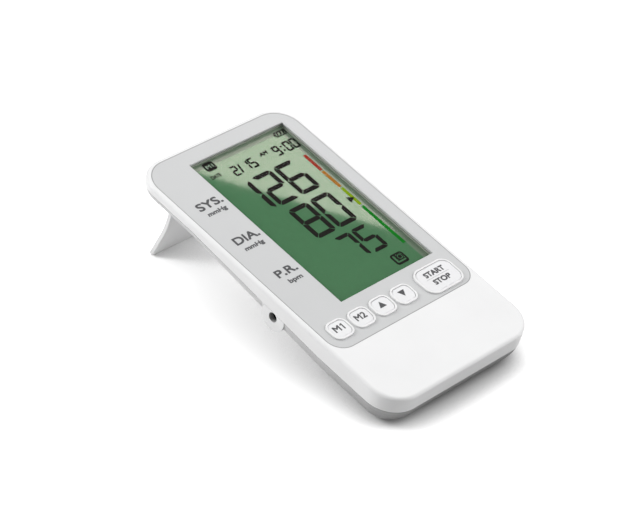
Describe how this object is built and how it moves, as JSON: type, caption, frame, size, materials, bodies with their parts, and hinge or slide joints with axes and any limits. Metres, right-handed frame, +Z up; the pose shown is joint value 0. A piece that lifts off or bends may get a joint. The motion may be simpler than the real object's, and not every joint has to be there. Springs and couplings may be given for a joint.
{
  "type": "upper-arm blood pressure monitor",
  "caption": "Tabletop display unit of a blood pressure monitor with an upper-arm cuff: tall segment display, row of keys, air socket in its side and a fold-out rear stand.",
  "frame": {"origin": "centre of the bounding box's bottom, on the table that the rubber feet and the stand's foot rest on", "axes": "+X to the user's right, +Y away from the user, +Z up; the face leans back by 17.12 degrees"},
  "size_m": [0.0882, 0.1786, 0.0637],
  "materials": {
    "white_shell": "fine satin moulded white",
    "grey_panel": "satin light grey with printed legends",
    "clear_window": "clear, polished",
    "key_white": "satin white with printed legends",
    "plunger_plastic": "moulded black",
    "display_glass": "green reflective segment display",
    "reflector": "pale reflective film",
    "white_inner": "moulded white",
    "connector": "striped elastomer",
    "switch_metal": "stamped",
    "board": "green solder mask",
    "black_plastic": "moulded black",
    "steel": "zinc plated",
    "cell_wrap": "plain wrapped cell",
    "contact_metal": "nickel plated",
    "socket_black": "matt black",
    "silicone_tube": "milky silicone",
    "motor_can": "drawn can",
    "rubber_foot": "matt grey"
  },
  "bodies": {
    "case": {"front_cover": "white_shell", "front_panel": "grey_panel", "display_window": "clear_window", "switch_bodies": "switch_metal", "display_glass": "display_glass", "display_reflector": "reflector", "display_frame": "white_inner", "display_connector": "connector", "main_board": "board", "processor_chip": "black_plastic", "board_components": "black_plastic", "buzzer": "black_plastic", "pressure_sensor": "black_plastic", "board_screws": "steel", "rear_cover": "white_shell", "battery_cells": "cell_wrap", "battery_contacts": "contact_metal", "stand_pin": "steel", "air_socket": "socket_black", "socket_tube": "silicone_tube", "pump_tube": "silicone_tube", "valve_tube": "silicone_tube", "sensor_tube": "silicone_tube", "air_manifold": "white_inner", "pump_head": "black_plastic", "pump_motor": "motor_can", "release_valve": "black_plastic", "case_screws": "steel", "rubber_feet": "rubber_foot"},
    "memory_1_button": {"memory_1_key": "key_white", "memory_1_plunger": "plunger_plastic"},
    "memory_2_button": {"memory_2_key": "key_white", "memory_2_plunger": "plunger_plastic"},
    "up_button": {"up_key": "key_white", "up_plunger": "plunger_plastic"},
    "down_button": {"down_key": "key_white", "down_plunger": "plunger_plastic"},
    "start_button": {"start_key": "key_white", "start_plunger": "plunger_plastic"},
    "stand": {"stand": "white_shell"},
    "door": {"battery_door": "white_shell"}
  },
  "joints": [
    {"name": "memory_1_press", "type": "slide", "parent": "case", "child": "memory_1_button", "axis": [0, 0.2944, -0.9557], "range_m": [0, 0.00045], "stiffness_N_per_m": 600, "springref_m": -0.0003},
    {"name": "memory_2_press", "type": "slide", "parent": "case", "child": "memory_2_button", "axis": [0, 0.2944, -0.9557], "range_m": [0, 0.00045], "stiffness_N_per_m": 600, "springref_m": -0.0003},
    {"name": "up_press", "type": "slide", "parent": "case", "child": "up_button", "axis": [0, 0.2944, -0.9557], "range_m": [0, 0.00045], "stiffness_N_per_m": 600, "springref_m": -0.0003},
    {"name": "down_press", "type": "slide", "parent": "case", "child": "down_button", "axis": [0, 0.2944, -0.9557], "range_m": [0, 0.00045], "stiffness_N_per_m": 600, "springref_m": -0.0003},
    {"name": "start_press", "type": "slide", "parent": "case", "child": "start_button", "axis": [0, 0.2944, -0.9557], "range_m": [0, 0.00045], "stiffness_N_per_m": 600, "springref_m": -0.0003},
    {"name": "stand_fold", "type": "hinge", "parent": "case", "child": "stand", "pos_m": [0, 0.06303, 0.05681], "axis": [-1, 0, 0], "range_deg": [0, 90]},
    {"name": "door_open", "type": "hinge", "parent": "case", "child": "door", "pos_m": [0, -0.03917, 0.01204], "axis": [1, 0, 0], "range_deg": [0, 50]}
  ]
}
